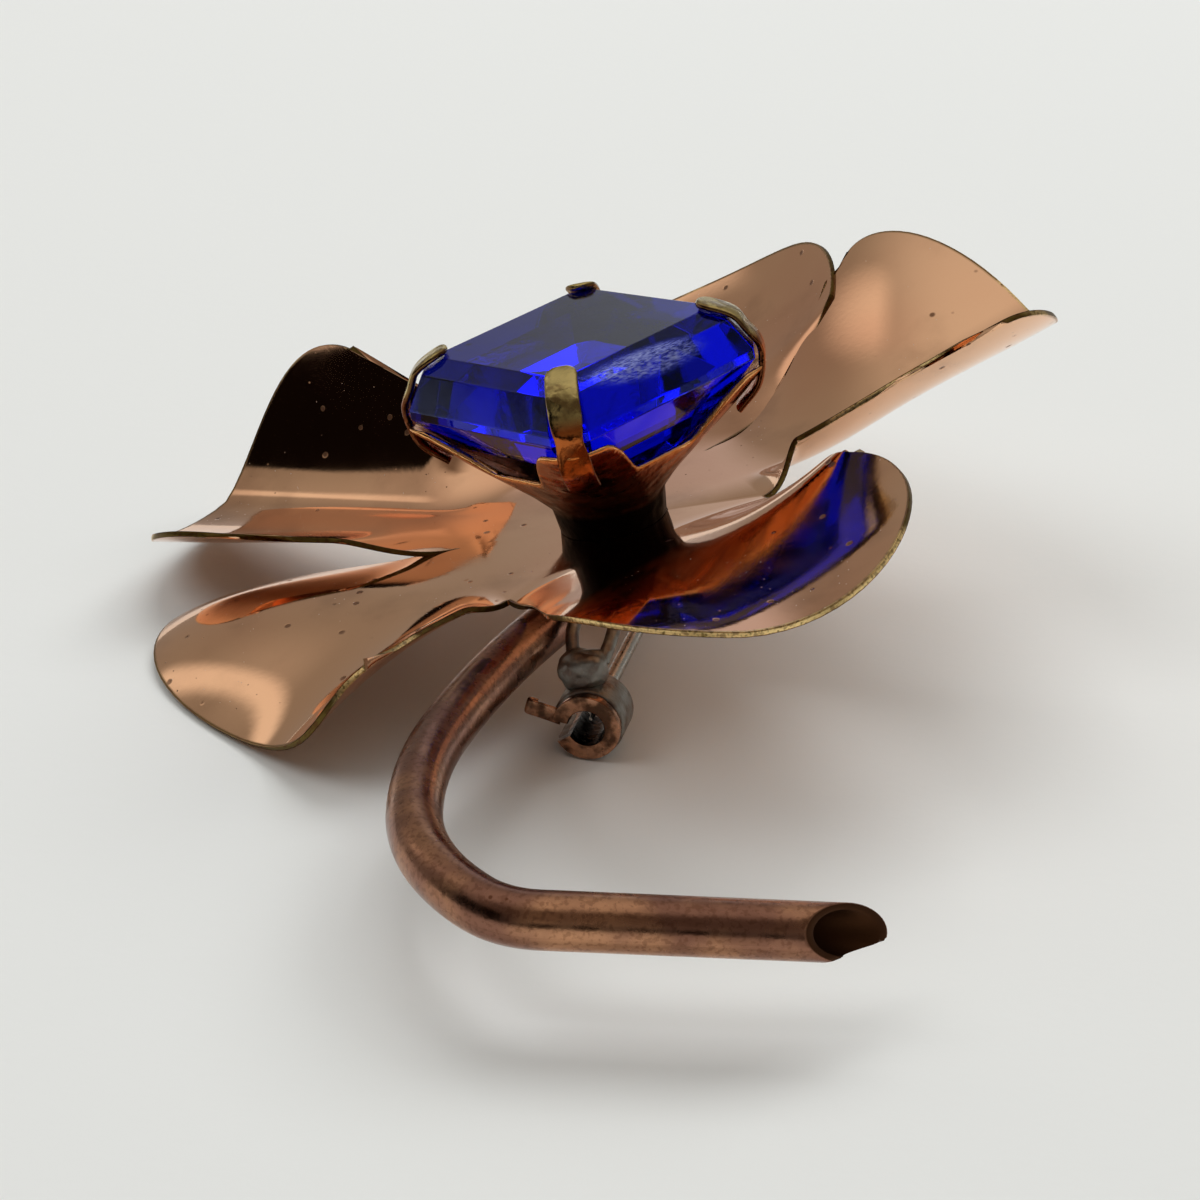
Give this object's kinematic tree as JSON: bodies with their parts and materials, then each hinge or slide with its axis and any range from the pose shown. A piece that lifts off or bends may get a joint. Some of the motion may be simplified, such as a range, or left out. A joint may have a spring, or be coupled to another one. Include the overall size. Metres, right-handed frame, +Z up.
{
  "type": "flower brooch",
  "caption": "Flower brooch of bent sheet-metal petals with a square step-cut stone in a pronged cup, a curved tube stem and a hinged pin with a turning safety catch behind.",
  "frame": {"origin": "on the table under the middle of the whole brooch, as it lies", "axes": "+Z up, +Y away from the stem's cut end towards the top petal, +X to the wearer's side on the picture's right"},
  "size_m": [0.0486, 0.0649, 0.0201],
  "materials": {
    "copper_sheet": "worn copper plating, satin polished, with pits and olive-gold cut rims",
    "copper_setting": "worn copper plating, polished on the prongs and dark in the hollows",
    "blue_glass": "clear deep blue, polished, scratched on the facet edges",
    "copper_stem": "tarnished copper plating, brown-rose, satin",
    "grey_findings": "dull grey solder over worn plating",
    "copper_findings": "worn copper plating, polished on the edges",
    "steel_wire": "drawn wire, plain"
  },
  "bodies": {
    "brooch": {"petals": "copper_sheet", "setting": "copper_setting", "stone": "blue_glass", "stem": "copper_stem", "catch": "grey_findings", "pin_joint": "grey_findings", "pin_rivet": "grey_findings"},
    "lever": {"catch_lever": "copper_findings"},
    "pin": {"pin": "steel_wire"}
  },
  "joints": [
    {"name": "catch_turn", "type": "hinge", "parent": "brooch", "child": "lever", "pos_m": [-0.00013, -0.00786, 0.00185], "axis": [0.2181, 0.9759, 0], "range_deg": [0, 120]},
    {"name": "pin_swing", "type": "hinge", "parent": "brooch", "child": "pin", "pos_m": [0.00369, 0.00922, 0.00185], "axis": [0.2443, -0.0546, -0.9681], "range_deg": [0, 60]}
  ]
}
